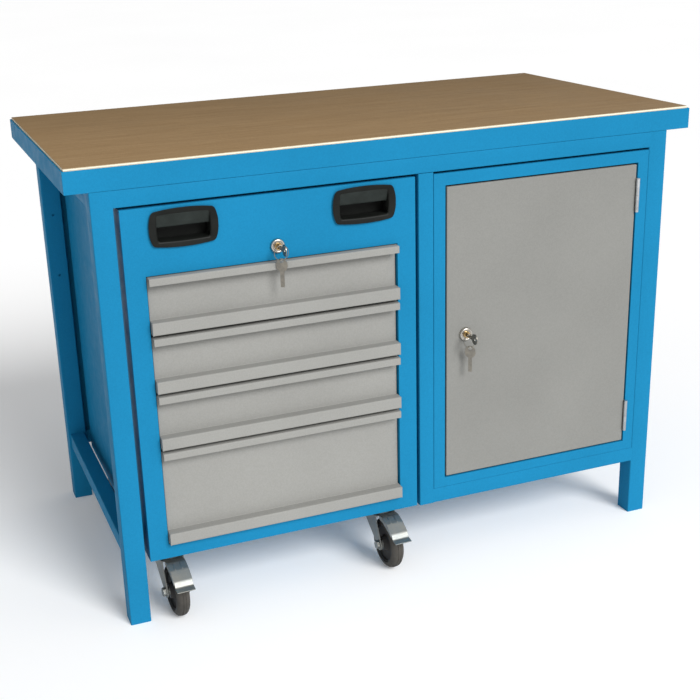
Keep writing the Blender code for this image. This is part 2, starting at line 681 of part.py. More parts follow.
def make_wheel(name, pivot, axle_y, parent):
    """Rubber tyre on a dished wheel centre with a long hub."""
    half = WHEEL_WIDTH / 2
    r = WHEEL_RADIUS
    hub = FORK_HALF - FORK_WALL / 2 - 0.001
    outer = [(0.0055, hub), (0.0115, hub), (0.014, 0.006), (0.033, 0.006), (0.0355, half - 0.001),
             (r - 0.011, half), (r - 0.006, half - 0.0016), (r - 0.0025, half - 0.0044),
             (r - 0.0007, half - 0.0080), (r, half - 0.0120)]
    profile = outer + [(radius, -x) for radius, x in reversed(outer)]
    axis = axis_empty(f"{name}_axis", (pivot.x, axle_y, AXLE_Z), parent)
    turned(name, profile, "rubber", axis, (pivot.x, axle_y, AXLE_Z))


def hex_bolt(name, pivot, axle_y, parent):
    """Axle bolt with a head on one side and a nut on the other."""
    middle = Vector((pivot.x, axle_y, AXLE_Z))
    side = Vector((1, 0, 0))
    head = FORK_HALF + FORK_WALL / 2 + GAP
    bolt = add_piece(name, cylinder(AXLE_RADIUS, middle - side * (head + 0.004),
                                    middle + side * (head + 0.007), 16), "zinc", parent)
    for sign in (-1, 1):
        near = middle + side * sign * head
        far = middle + side * sign * (head + 0.0055)
        combine(bolt, "UNION", cylinder(0.0085, min(near, far, key=lambda v: v.x),
                                        max(near, far, key=lambda v: v.x), 6), parent)


def make_pedal(name, pivot, parent):
    """Brake pedal: a pressed plate over the tyre, hung on a cross pin inside the fork."""
    pin_y = pivot.y - 0.0365
    pin_z = CROWN_Z + 0.0035
    axis = axis_empty(f"{name}_axis", (pivot.x, pin_y, pin_z), parent)
    half = 0.018
    tip = FRONT - PEDAL_REACH
    path = [(pin_y + 0.002, pin_z + 0.001), (pin_y - 0.014, pin_z + 0.002), (pivot.y - 0.070, 0.1045),
            (pivot.y - 0.090, 0.0920), (pivot.y - 0.0965, 0.0830), (tip + 0.0003, 0.0805)]
    pedal = add_piece(name, strip(path, 0, pivot.x - half, pivot.x + half), "zinc", axis)
    solidify(pedal, 0.002, offset=0.0)
    reach = Vector((FORK_HALF - FORK_WALL / 2 - GAP, 0, 0))
    middle = Vector((pivot.x, pin_y, pin_z))
    combine(pedal, "UNION", cylinder(0.0025, middle - reach, middle + reach, 16), axis)


def make_front_caster(side, x, cart):
    pivot = Vector((x, FRONT + SWIVEL_INSET, CART_BOTTOM))
    plate_top = CART_BOTTOM - GAP
    plate_low = plate_top - PLATE_THICK
    up = Vector((0, 0, 1))
    spot = Vector((pivot.x, pivot.y, 0))
    top_plate = add_piece(f"caster_front_{side}_plate", box(
        (x - PLATE_HALF, pivot.y - PLATE_HALF + 0.002, plate_low),
        (x + PLATE_HALF, pivot.y + PLATE_HALF, plate_top)), "zinc", cart)
    boss = cylinder(0.030, spot + up * (plate_low - 0.005), spot + up * (plate_low + 0.001))
    combine(top_plate, "UNION", boss, cart)
    swivel = axis_empty(f"caster_front_{side}_swivel_axis", pivot, cart, turn=REST_SWIVELS[side])
    axle_y = pivot.y - TRAIL
    fork = make_fork(f"caster_front_{side}_fork", pivot, axle_y, swivel)
    combine(fork, "UNION", cylinder(0.0265, spot + up * (CROWN_Z - 0.0005),
                                    spot + up * (plate_low - 0.005 - GAP)), swivel)
    drill_fork(fork, pivot, axle_y, swivel)
    make_wheel(f"caster_front_{side}_wheel", pivot, axle_y, swivel)
    hex_bolt(f"caster_front_{side}_axle", pivot, axle_y, swivel)
    make_pedal(f"caster_front_{side}_brake_pedal", pivot, swivel)


def make_rear_caster(side, x, cart):
    pivot = Vector((x, FRONT + CART_DEPTH - 0.050, CART_BOTTOM))
    up = Vector((0, 0, 1))
    spot = Vector((pivot.x, pivot.y, 0))
    fork = make_fork(f"caster_rear_{side}_fork", pivot, pivot.y, cart)
    combine(fork, "UNION",
            cylinder(0.024, spot + up * (CROWN_Z - 0.0005), spot + up * (CART_BOTTOM - 0.002)), cart)
    combine(fork, "UNION", box((x - PLATE_HALF, pivot.y - PLATE_HALF, CART_BOTTOM - GAP - PLATE_THICK),
                               (x + PLATE_HALF, pivot.y + PLATE_HALF, CART_BOTTOM - GAP)), cart)
    middle = Vector((pivot.x, pivot.y, AXLE_Z))
    reach = Vector((FORK_HALF + 0.005, 0, 0))
    combine(fork, "UNION", cylinder(AXLE_RADIUS, middle - reach, middle + reach, 16), cart)
    make_wheel(f"caster_rear_{side}_wheel", pivot, pivot.y, cart)


def make_cart():
    cart = axis_empty("cart_axis", (CART_X, FRONT, CART_BOTTOM))
    make_cart_shell(cart)
    make_runner_panels(cart)
    make_grip_cups(cart)
    make_lock("cart", CART_LOCK, cart, cam_length=0.030, cam_turn=0.0)
    make_drawers(cart)
    for side, sign in (("left", -1), ("right", 1)):
        caster_x = CART_X + CASTER_SHIFT + sign * CASTER_SPREAD
        make_front_caster(side, caster_x, cart)
        make_rear_caster(side, caster_x, cart)


def shade_round_pieces():
    for obj in PARTS.objects:
        if obj.type == "MESH":
            obj.data.shade_smooth()
            obj.data.set_sharp_from_angle(angle=math.radians(35))


make_legs()
make_rails()
make_top()
make_cabinet()
make_door()
make_cart()
shade_round_pieces()
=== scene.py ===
"""Looks for the workbench: a finished piece over each CAD node, procedural materials, floor, light
and camera. Metres, +Z up, front towards -Y."""
import json
import math

import bmesh
import bpy
from mathutils import Matrix, Vector


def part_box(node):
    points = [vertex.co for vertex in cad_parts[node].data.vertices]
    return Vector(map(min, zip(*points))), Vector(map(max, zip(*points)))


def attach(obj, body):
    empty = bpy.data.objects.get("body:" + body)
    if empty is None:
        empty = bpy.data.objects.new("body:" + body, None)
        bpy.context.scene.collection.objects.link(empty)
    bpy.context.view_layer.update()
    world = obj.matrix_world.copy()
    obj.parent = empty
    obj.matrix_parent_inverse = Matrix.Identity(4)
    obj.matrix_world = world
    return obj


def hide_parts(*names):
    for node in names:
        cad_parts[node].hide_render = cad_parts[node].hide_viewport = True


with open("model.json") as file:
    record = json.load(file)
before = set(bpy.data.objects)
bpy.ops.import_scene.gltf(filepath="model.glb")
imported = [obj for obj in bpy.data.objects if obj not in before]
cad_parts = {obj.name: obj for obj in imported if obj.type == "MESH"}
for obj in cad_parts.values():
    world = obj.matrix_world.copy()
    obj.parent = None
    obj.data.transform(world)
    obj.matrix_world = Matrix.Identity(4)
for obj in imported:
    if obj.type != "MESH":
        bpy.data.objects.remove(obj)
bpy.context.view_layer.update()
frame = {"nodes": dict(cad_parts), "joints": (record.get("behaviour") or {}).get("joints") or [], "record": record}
NODES = frame["nodes"]
BODIES = frame["record"]["behaviour"]["bodies"]
BODY_OF = {node: body for body, members in BODIES.items() for node in members}

# Sheet and tube, in metres.
BEND = 0.0018
TUBE_CORNER = 0.0018
JOINT_GAP = 0.0003
DOOR_SHEET = 0.0013
LEG_HOLE_ZS = (0.650, 0.520)
LEG_HOLE_RADIUS = 0.0025
LEG_HOLE_DEPTH = 0.004

# Drawer fronts, measured from the front's own box.
DRAWER_SHEET = 0.0015
DRAWER_BEND = 0.0020
DRAWER_LIP_HEIGHT = 0.013
DRAWER_LEDGE_HEIGHT = 0.022

# Grip cups: half sizes of the rim's and the pocket's corners, and how far their sides bulge.
RIM_CORNER = (0.0510, 0.0265)
RIM_BULGE = (0.0063, 0.0043)
POCKET_CORNER = (0.0450, 0.0215)
POCKET_BULGE = (0.0012, 0.0014)
RIM_STANDS_PROUD = 0.004
HOOD_HALF = 0.0480
HOOD_SHEET = 0.0016

# Locks.
LOCK_FACE = 0.0057
THREAD_TURNS = 7
NUT_THICKNESS = 0.0035
NUT_GAP = {"cart": 0.0025, "door": 0.0020}

# Casters.
WHEEL_RADIUS = 0.050
WHEEL_HALF = 0.013
TYRE_INNER_RADIUS = 0.0368
BEARING_OUTER_RADIUS = 0.0125
PEDAL_HALF = 0.0171
PEDAL_SHEET = 0.0018
PEDAL_BEND = 0.0025
FLANGE_HALF_SHEET = 0.0008
RIB_FROM_MIDDLE = 0.0068
PLATE_THICKNESS = 0.0030
PLATE_HALF = 0.0425
BOLT_INSET = (0.007, 0.0085)

# Light.
SKY_BRIGHT_SIDE = (0.30, -0.95, 0.0)
SKY_DIM = 0.05
SKY_BRIGHT = 0.90
SUN_POWER = 2.9
SUN_SPREAD = 28.0
SUN_DIRECTION = (-0.25, 0.78, -0.57)
FLOOR_GLOW = 0.10
FLOOR_SIZE = 60.0

# Camera: its place, its turn in degrees, and its lens.
CAMERA_PLACE = (-0.8851, -2.20035, 1.2162)
CAMERA_YAW, CAMERA_PITCH, CAMERA_ROLL = -20.26, 19.84, -2.056
CAMERA_LENS = 61.9
CAMERA_SENSOR = 36.0
CAMERA_SHIFT_X = 0.0461


# --- Materials -------------------------------------------------------------------------------

def new_material(name, colour, roughness, metallic=0.0, specular=0.5):
    """A plain shader with its constants set, and a coordinates node that its textures share."""
    mat = bpy.data.materials.new(name)
    mat.use_nodes = True
    shader = mat.node_tree.nodes["Principled BSDF"]
    shader.inputs["Base Color"].default_value = (*colour, 1)
    shader.inputs["Roughness"].default_value = roughness
    shader.inputs["Metallic"].default_value = metallic
    shader.inputs["Specular IOR Level"].default_value = specular
    coords = mat.node_tree.nodes.new("ShaderNodeTexCoord")
    mat["coords"] = coords.name
    return mat


def stretched(mat, scale):
    """Object coordinates scaled by axis, for grain and brushing that run one way."""
    tree = mat.node_tree
    mapping = tree.nodes.new("ShaderNodeMapping")
    mapping.inputs["Scale"].default_value = scale
    tree.links.new(tree.nodes[mat["coords"]].outputs["Object"], mapping.inputs["Vector"])
    return mapping.outputs["Vector"]


def texture(mat, kind, vector=None, **settings):
    """A texture node on object coordinates. A setting is one of its properties or of its sockets."""
    tree = mat.node_tree
    node = tree.nodes.new(kind)
    tree.links.new(vector or tree.nodes[mat["coords"]].outputs["Object"], node.inputs["Vector"])
    for key, value in settings.items():
        if hasattr(node, key):
            setattr(node, key, value)
        else:
            node.inputs[key.replace("_", " ").title()].default_value = value
    return node


def ramp(mat, value, stops):
    """A colour ramp over value. Each stop is a position and a grey level or a colour."""
    tree = mat.node_tree
    node = tree.nodes.new("ShaderNodeValToRGB")
    elements = node.color_ramp.elements
    while len(elements) < len(stops):
        elements.new(0.5)
    for element, (position, colour) in zip(elements, stops):
        element.position = position
        element.color = (*colour, 1) if isinstance(colour, tuple) else (colour, colour, colour, 1)
    tree.links.new(value, node.inputs["Fac"])
    return node.outputs["Color"]


def multiply(mat, first, second):
    node = mat.node_tree.nodes.new("ShaderNodeMix")
    node.data_type = "RGBA"
    node.blend_type = "MULTIPLY"
    node.inputs["Factor"].default_value = 1.0
    mat.node_tree.links.new(first, node.inputs[6])
    mat.node_tree.links.new(second, node.inputs[7])
    return node.outputs[2]


def connect(mat, socket, value):
    mat.node_tree.links.new(value, mat.node_tree.nodes["Principled BSDF"].inputs[socket])


def bump(mat, height, strength, distance):
    """Bump from height, on top of any bump that the material already has."""
    tree = mat.node_tree
    node = tree.nodes.new("ShaderNodeBump")
    node.inputs["Strength"].default_value = strength
    node.inputs["Distance"].default_value = distance
    tree.links.new(height, node.inputs["Height"])
    shader = tree.nodes["Principled BSDF"].inputs["Normal"]
    if shader.is_linked:
        tree.links.new(shader.links[0].from_socket, node.inputs["Normal"])
    tree.links.new(node.outputs["Normal"], shader)


def shades(colour, low, high):
    """A darker and a lighter tint of a colour."""
    return tuple(c * low for c in colour), tuple(min(c * high, 1.0) for c in colour)


def powder_coat(name, colour, roughness, peel):
    """Powder coat: slight clouding, orange peel, and a scatter of rubbed spots."""
    mat = new_material(name, colour, roughness, specular=0.025)
    dark, light = shades(colour, 0.955, 1.04)
    cloud = texture(mat, "ShaderNodeTexNoise", scale=5.0, detail=4.0)
    speck = texture(mat, "ShaderNodeTexNoise", scale=420.0, detail=2.0)
    clouded = ramp(mat, cloud.outputs["Fac"], ((0.30, dark), (0.70, light)))
    specks = ramp(mat, speck.outputs["Fac"], ((0.35, 0.93), (0.65, 1.0)))
    connect(mat, "Base Color", multiply(mat, clouded, specks))
    rubbed = texture(mat, "ShaderNodeTexNoise", scale=38.0, detail=6.0, roughness=0.65)
    connect(mat, "Roughness", ramp(mat, rubbed.outputs["Fac"], ((0.35, roughness - 0.07),
                                                                (0.72, roughness + 0.10))))
    grain = texture(mat, "ShaderNodeTexNoise", scale=650.0, detail=2.0)
    bump(mat, grain.outputs["Fac"], peel, 0.0002)
    return mat


def film_board():
    """Brown film-faced plywood, with streaks under the film and its pressed mesh on top."""
    mat = new_material("film_board", (0.27, 0.17, 0.09), 0.5, specular=0.12)
    streak = texture(mat, "ShaderNodeTexNoise", stretched(mat, (2.5, 46.0, 1.0)), scale=3.0, detail=7.0,
                     roughness=0.6, distortion=0.6)
    fine = texture(mat, "ShaderNodeTexNoise", stretched(mat, (14.0, 420.0, 1.0)), scale=2.0, detail=3.0)
    base = ramp(mat, streak.outputs["Fac"], ((0.28, (0.272, 0.174, 0.084)), (0.50, (0.312, 0.204, 0.102)),
                                             (0.74, (0.352, 0.236, 0.124))))
    lines = ramp(mat, fine.outputs["Fac"], ((0.34, 0.90), (0.62, 1.0)))
    cells = texture(mat, "ShaderNodeTexVoronoi", scale=310.0, feature="DISTANCE_TO_EDGE")
    mesh = ramp(mat, cells.outputs["Distance"], ((0.02, 0.80), (0.22, 1.0)))
    connect(mat, "Base Color", multiply(mat, multiply(mat, base, lines), mesh))
    worn = texture(mat, "ShaderNodeTexNoise", scale=9.0, detail=5.0)
    connect(mat, "Roughness", ramp(mat, worn.outputs["Fac"], ((0.3, 0.46), (0.7, 0.64))))
    bump(mat, cells.outputs["Distance"], 0.25, 0.0005)
    return mat


def ply_edge():
    """Pale plies with thin darker glue lines along the cut edge."""
    mat = new_material("ply_edge", (0.74, 0.68, 0.52), 0.6)
    plies = texture(mat, "ShaderNodeTexWave", scale=118.0, distortion=0.4, detail=2.0,
                    bands_direction="Z")
    fibre = texture(mat, "ShaderNodeTexNoise", stretched(mat, (60.0, 60.0, 700.0)), scale=1.0, detail=4.0)
    layers = ramp(mat, plies.outputs["Fac"], ((0.10, (0.50, 0.40, 0.25)), (0.32, (0.78, 0.72, 0.57)),
                                              (1.0, (0.84, 0.80, 0.66))))
    connect(mat, "Base Color", multiply(mat, layers, ramp(mat, fibre.outputs["Fac"], ((0.3, 0.86),
                                                                                     (0.6, 1.0)))))
    bump(mat, fibre.outputs["Fac"], 0.2, 0.0002)
    return mat


def plated(name, colour, tint, roughness, scale):
    """Plated or rolled metal: clouds of a second tint, and fine drawn marks."""
    mat = new_material(name, colour, roughness, metallic=1.0)
    cloud = texture(mat, "ShaderNodeTexNoise", scale=scale, detail=5.0, roughness=0.6)
    connect(mat, "Base Color", ramp(mat, cloud.outputs["Fac"], ((0.32, colour), (0.68, tint))))
    marks = texture(mat, "ShaderNodeTexNoise", stretched(mat, (30.0, 30.0, 500.0)), scale=4.0, detail=3.0)
    connect(mat, "Roughness", ramp(mat, marks.outputs["Fac"], ((0.3, roughness - 0.06),
                                                               (0.7, roughness + 0.10))))
    bump(mat, marks.outputs["Fac"], 0.08, 0.0001)
    return mat


def spangled():
    """Hot-dip galvanised sheet with flat crystal spangles."""
    mat = new_material("galvanised", (0.46, 0.48, 0.49), 0.42, metallic=1.0)
    cells = texture(mat, "ShaderNodeTexVoronoi", scale=75.0)
    flakes = ramp(mat, cells.outputs["Color"], ((0.2, (0.40, 0.42, 0.43)), (0.8, (0.55, 0.57, 0.58))))
    connect(mat, "Base Color", flakes)
    connect(mat, "Roughness", ramp(mat, cells.outputs["Color"], ((0.2, 0.34), (0.8, 0.52))))
    bump(mat, cells.outputs["Distance"], 0.05, 0.0002)
    return mat


def moulded(name, colour, roughness, scale, strength):
    """Moulded plastic or rubber with a fine grain and slight dusting."""
    mat = new_material(name, colour, roughness, specular=0.14)
    dust = texture(mat, "ShaderNodeTexNoise", scale=26.0, detail=6.0, roughness=0.7)
    dark, light = shades(colour, 0.75, 1.5)
    connect(mat, "Base Color", ramp(mat, dust.outputs["Fac"], ((0.35, dark), (0.75, light))))
    connect(mat, "Roughness", ramp(mat, dust.outputs["Fac"], ((0.3, roughness - 0.06),
                                                              (0.7, roughness + 0.10))))
    grain = texture(mat, "ShaderNodeTexVoronoi", scale=scale)
    bump(mat, grain.outputs["Distance"], strength, 0.0002)
    return mat


BLUE = powder_coat("blue_powder_coat", (0.011, 0.188, 0.366), 0.46, 0.10)
GREY = powder_coat("grey_powder_coat", (0.224, 0.224, 0.211), 0.48, 0.12)
# The drawer fronts get a lighter copy of the grey coat. This is painted light: it stands for the brighter light on
# the drawers than on the door, which is painted the same grey.
DRAWER_GREY_PAINTED_LIGHTER = powder_coat("drawer_powder_coat_painted_lighter", (0.278, 0.277, 0.262), 0.48, 0.12)
FILM = film_board()
PLY = ply_edge()
BLACK = moulded("black_plastic", (0.007, 0.008, 0.007), 0.46, 900.0, 0.10)
HOOD = moulded("hood_plastic", (0.018, 0.023, 0.021), 0.44, 900.0, 0.10)
RUBBER = moulded("tyre_rubber", (0.060, 0.056, 0.050), 0.68, 500.0, 0.22)
CENTRE = moulded("wheel_centre", (0.035, 0.034, 0.033), 0.50, 800.0, 0.10)
ZINC = plated("zinc_plate", (0.24, 0.27, 0.28), (0.33, 0.325, 0.295), 0.50, 22.0)
SPANGLE = spangled()
NICKEL = plated("nickel_plate", (0.46, 0.44, 0.41), (0.56, 0.53, 0.47), 0.26, 90.0)
BRASS = plated("brass", (0.42, 0.28, 0.12), (0.54, 0.38, 0.18), 0.32, 120.0)
KEY_STEEL = plated("key_steel", (0.20, 0.19, 0.17), (0.28, 0.26, 0.22), 0.36, 150.0)


# --- Building blocks -------------------------------------------------------------------------

def put(name, bm, material, body, nodes=(), smooth=32.0):
    """A new piece that rides on body, stands for nodes and takes its finish from material."""
    mesh = bpy.data.meshes.new(name)
    bmesh.ops.recalc_face_normals(bm, faces=bm.faces)
    bm.to_mesh(mesh)
    bm.free()
    obj = bpy.data.objects.new(name, mesh)
    bpy.context.scene.collection.objects.link(obj)
    for mat in material if isinstance(material, tuple) else (material,):
        mesh.materials.append(mat)
    mesh.shade_smooth()
    if smooth:
        mesh.set_sharp_from_angle(angle=math.radians(smooth))
    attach(obj, body)
    if nodes:
        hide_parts(*nodes)
    return obj


def bevelled(obj, width, segments=3, angle=34.0):
    """Round the edges sharper than angle, and even out the shading across the flat faces."""
    mod = obj.modifiers.new("bevel", "BEVEL")
    mod.width = width
    mod.segments = segments
    mod.limit_method = "ANGLE"
    mod.angle_limit = math.radians(angle)
    obj.data.shade_smooth()
    obj.modifiers.new("normals", "WEIGHTED_NORMAL")
    return obj


def clean_copy(node):
    """The CAD node's mesh, with the triangles of each flat face joined."""
    bm = bmesh.new()
    bm.from_mesh(NODES[node].data)
    bmesh.ops.remove_doubles(bm, verts=bm.verts, dist=0.000005)
    bmesh.ops.dissolve_limit(bm, angle_limit=math.radians(0.5), verts=bm.verts, edges=bm.edges)
    return bm


def rounded(node, material, width=0.0006, segments=2, angle=34.0):
    """The CAD node's own form with its cut and folded edges rounded."""
    obj = put(f"{node}_finish", clean_copy(node), material, BODY_OF[node], (node,), smooth=None)
    return bevelled(obj, width, segments, angle)


def block(low, high):
    """A box between two corners."""
    bm = bmesh.new()
    low, high = Vector(low), Vector(high)
    bmesh.ops.create_cube(bm, size=1.0)
    bmesh.ops.scale(bm, verts=bm.verts, vec=high - low)
    bmesh.ops.translate(bm, verts=bm.verts, vec=(low + high) / 2)
    return bm


def edges_along(bm, axis):
    """The edges that run along one axis: 0, 1 or 2."""
    found = []
    for edge in bm.edges:
        along = (edge.verts[0].co - edge.verts[1].co).normalized()
        if abs(along[axis]) > 0.99:
            found.append(edge)
    return found


def round_edges(bm, edges, radius, segments):
    bmesh.ops.bevel(bm, geom=edges, offset=radius, offset_type="OFFSET", segments=segments, profile=0.5,
                    affect="EDGES", clamp_overlap=True)


def tube(node):
    """Square tube, rounded along its length. A rail runs into its neighbours' rounded corners, as a
    ground and painted weld does."""
    low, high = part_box(node)
    size = [high[i] - low[i] for i in range(3)]
    along = size.index(max(size))
    if node.startswith("rail_"):
        low[along] -= JOINT_GAP + TUBE_CORNER
        high[along] += JOINT_GAP + TUBE_CORNER
    bm = block(low, high)
    round_edges(bm, edges_along(bm, along), TUBE_CORNER, 4)
    obj = put(f"{node}_finish", bm, BLUE, BODY_OF[node], (node,), smooth=50.0)
    if node.startswith("leg_rear"):
        outline = [(0.0, -LEG_HOLE_DEPTH), (LEG_HOLE_RADIUS, -LEG_HOLE_DEPTH),
                   (LEG_HOLE_RADIUS, LEG_HOLE_DEPTH), (0.0, LEG_HOLE_DEPTH)]
        for z in LEG_HOLE_ZS:
            middle = Vector(((low[0] + high[0]) / 2, low[1], z))
            cut(obj, turned(outline, middle, (0, 1, 0), 20))


def rounded_path(points, radius, steps=4):
    """A 2-D path with each inner corner turned into an arc."""
    points = [Vector(p) for p in points]
    path = [points[0]]
    for before, corner, after in zip(points, points[1:], points[2:]):
        start = corner + (before - corner).normalized() * radius
        end = corner + (after - corner).normalized() * radius
        for step in range(steps + 1):
            t = step / steps
            path.append(start.lerp(corner, t).lerp(corner.lerp(end, t), t))
    return path + [points[-1]]


def drawn_sheet(path, axis, start, end):
    """A path across an axis, drawn out along it as an open sheet."""
    across = [i for i in range(3) if i != axis]
    bm = bmesh.new()
    rows = []
    for place in (start, end):
        row = []
        for point in path:
            co = Vector()
            co[axis] = place
            co[across[0]], co[across[1]] = point
            row.append(bm.verts.new(co))
        rows.append(row)
    for i in range(len(path) - 1):
        bm.faces.new((rows[0][i], rows[0][i + 1], rows[1][i + 1], rows[1][i]))
    return bm


def thickened(obj, thickness, offset=0.0):
    """Give an open sheet its thickness, on both sides of it or, at offset -1, inwards."""
    mod = obj.modifiers.new("sheet", "SOLIDIFY")
    mod.thickness = thickness
    mod.offset = offset
    mod.use_even_offset = True


def turned(profile, centre, direction, steps=48):
    """A closed (radius, distance) profile turned about a line through centre along direction."""
    bm = bmesh.new()
    direction = Vector(direction).normalized()
    side = direction.orthogonal().normalized()
    verts = [bm.verts.new(Vector(centre) + side * r + direction * d) for r, d in profile]
    edges = [bm.edges.new(pair) for pair in zip(verts, verts[1:])]
    if profile[0][0] > 0.00001:
        edges.append(bm.edges.new((verts[-1], verts[0])))
    bmesh.ops.spin(bm, geom=verts + edges, cent=centre, axis=direction, angle=math.tau, steps=steps,
                   use_merge=True, use_duplicate=False)
    bmesh.ops.remove_doubles(bm, verts=bm.verts, dist=0.000005)
    return bm


def cut(obj, bm):
    """Cut obj with a helper that is then removed."""
    mesh = bpy.data.meshes.new("helper")
    bmesh.ops.recalc_face_normals(bm, faces=bm.faces)
    bm.to_mesh(mesh)
    bm.free()
    helper = bpy.data.objects.new("helper", mesh)
    bpy.context.scene.collection.objects.link(helper)
    mod = obj.modifiers.new("boolean", "BOOLEAN")
    mod.operation = "DIFFERENCE"
    mod.solver = "EXACT"
    mod.object = helper
    depsgraph = bpy.context.evaluated_depsgraph_get()
    result = bpy.data.meshes.new_from_object(obj.evaluated_get(depsgraph))
    obj.modifiers.clear()
    obj.data = result
    bpy.data.objects.remove(helper)


def joined(*parts):
    """One mesh holding several closed bodies."""
    bm = bmesh.new()
    for part in parts:
        mesh = bpy.data.meshes.new("part")
        part.to_mesh(mesh)
        part.free()
        bm.from_mesh(mesh)
        bpy.data.meshes.remove(mesh)
    return bm


# --- Bench -----------------------------------------------------------------------------------

def finish_bench():
    for node in NODES:
        if node.startswith(("leg_", "rail_", "post_")):
            tube(node)
    rounded("top_edge_frame", BLUE, 0.0005, 2)
    rounded("rear_panel", BLUE, 0.0003, 2)
    low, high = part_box("worktop_board")
    bm = block(low, high)
    round_edges(bm, edges_along(bm, 2), 0.0015, 3)
    upper = [e for e in bm.edges if min(v.co.z for v in e.verts) > high[2] - 0.0001]
    round_edges(bm, upper, 0.0004, 2)
    for face in bm.faces:
        face.material_index = 0 if face.normal.z > 0.9 else 1
    put("worktop_board_finish", bm, (FILM, PLY), "bench", ("worktop_board",), smooth=40.0)


def finish_cabinet():
    """The shell, the shelf, the hinges, and the door as a folded sheet that is open at its back."""
    rounded("cabinet_shell", BLUE, 0.0007)
    rounded("cabinet_shelf", GREY, 0.0005)
    low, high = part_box("cabinet_door")
    bm = block(low, high)
    bm.normal_update()
    front = [f for f in bm.faces if f.normal.y < -0.9][0]
    edges = set(front.edges)
    bmesh.ops.delete(bm, geom=[f for f in bm.faces if f.normal.y > 0.9], context="FACES")
    edges |= set(edges_along(bm, 1))
    round_edges(bm, [e for e in edges if e.is_valid], BEND, 4)
    door = put("cabinet_door_finish", bm, GREY, "door", ("cabinet_door",), smooth=None)
    thickened(door, DOOR_SHEET, -1.0)
    bevelled(door, 0.0003, 2, 60.0)
    for node in NODES:
        if node.startswith("hinge_"):
            rounded(node, SPANGLE, 0.0003, 2, 50.0)


# --- Cart ------------------------------------------------------------------------------------

def finish_drawers():
    """Each front is one folded sheet: a top lip, the face, and a ledge with closed ends."""
    half = DRAWER_SHEET / 2
    for number in range(1, 5):
        node = f"drawer_{number}_front"
        low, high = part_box(node)
        lip, face = low[1] + half, high[1] - half
        bottom, top = low[2] + half, high[2] - half
        ledge = low[2] + DRAWER_LEDGE_HEIGHT
        path = rounded_path([(lip, high[2] - DRAWER_LIP_HEIGHT), (lip, top), (face, top), (face, ledge),
                             (lip, ledge), (lip, bottom), (face, bottom)], DRAWER_BEND)
        # The fronts and their end caps use the lighter grey copy, with painted light in it.
        front = put(f"{node}_finish", drawn_sheet(path, 0, low[0] + half, high[0] - half), DRAWER_GREY_PAINTED_LIGHTER,
                    BODY_OF[node], (node,), smooth=None)
        thickened(front, DRAWER_SHEET)
        bevelled(front, 0.0003, 2, 60.0)
        ends = [block((x, low[1], low[2]), (x + DRAWER_SHEET, high[1], ledge + half))
                for x in (low[0], high[0] - DRAWER_SHEET)]
        caps = put(f"{node}_ends", joined(*ends), DRAWER_GREY_PAINTED_LIGHTER, BODY_OF[node], (),
                   smooth=None)
        bevelled(caps, 0.0006, 2, 60.0)
        rounded(f"drawer_{number}_box", SPANGLE, 0.0004, 2, 50.0)
    for side in ("left", "right"):
        rounded(f"runner_panel_{side}", SPANGLE, 0.0003, 2, 50.0)


def barrel_outline(corner, bulge, steps=12):
    """Points round a rectangle with bulging sides and rounded corners, as (x, z) about its middle."""
    def quarter():
        across = [(corner[0] * t, corner[1] + bulge[1] * (1 - t * t))
                  for t in (-0.88 + 1.76 * k / steps for k in range(steps + 1))]
        down = [(corner[0] + bulge[0] * (1 - t * t), -corner[1] * t)
                for t in (-0.76 + 1.52 * k / steps for k in range(steps + 1))]
        return across + bend(across[-1], corner, down[0]) + down

    def bend(start, middle, end):
        start, middle, end = Vector(start), Vector(middle), Vector(end)
        middle = middle + (middle - (start + end) / 2) * 0.25
        return [tuple(start.lerp(middle, t).lerp(middle.lerp(end, t), t)) for t in
                (k / 6 for k in range(1, 6))]

    first = quarter()
    turn = bend(first[-1], (corner[0], -corner[1]), (-first[0][0], -first[0][1]))
    points = first + turn
    return points + [(-x, -z) for x, z in points]


def loft(loops):
    """A closed body through loops that have the same number of points, with a face at each end."""
    bm = bmesh.new()
    rings = [[bm.verts.new(point) for point in loop] for loop in loops]
    for here, after in zip(rings, rings[1:]):
        for k in range(len(here)):
            nxt = (k + 1) % len(here)
            bm.faces.new((here[k], here[nxt], after[nxt], after[k]))
    bm.faces.new(rings[0])
    bm.faces.new(rings[-1])
    return bm


def grip_cup(node):
    """Moulded cup: a rounded barrel-shaped rim, a deep pocket, and a plain sloping hood."""
    low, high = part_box(node)
    x, z = (low[0] + high[0]) / 2, (low[2] + high[2]) / 2
    front, back = low[1], high[1]
    outer = barrel_outline(RIM_CORNER, RIM_BULGE)
    inner = barrel_outline(POCKET_CORNER, POCKET_BULGE)

    def ring(outline, grow, y):
        return [(x + px + math.copysign(grow, px), y, z + pz + math.copysign(grow, pz))
                for px, pz in outline]

    panel = front + RIM_STANDS_PROUD
    loops = [ring(inner, 0.0018, back), ring(inner, 0.0018, panel), ring(outer, 0.0, panel),
             ring(outer, 0.0, front + 0.0026), ring(outer, -0.0004, front + 0.0014),
             ring(outer, -0.0013, front + 0.0005), ring(outer, -0.0028, front),
             ring(inner, 0.0030, front), ring(inner, 0.0012, front + 0.0006),
             ring(inner, 0.0, front + 0.0022), ring(inner, -0.0008, back - 0.004),
             ring(inner, -0.0030, back - 0.0018)]
    put(f"{node}_finish", loft(loops), BLACK, "cart", (node,), smooth=40.0)
    path = rounded_path([(front + 0.0012, z + 0.0240), (front + 0.0026, z + 0.0200),
                         (front + 0.0095, z + 0.0005), (front + 0.0150, z + 0.0020)], 0.0030)
    sheet = drawn_sheet(path, 0, x - HOOD_HALF, x + HOOD_HALF)
    hood = put(f"{node}_hood", sheet, HOOD, "cart", (), smooth=None)
    thickened(hood, HOOD_SHEET)
    bevelled(hood, 0.0004, 2, 60.0)


def finish_cart_shell():
    rounded("cart_shell", BLUE, 0.0008, 3)
    for side in ("left", "right"):
        grip_cup(f"grip_cup_{side}")


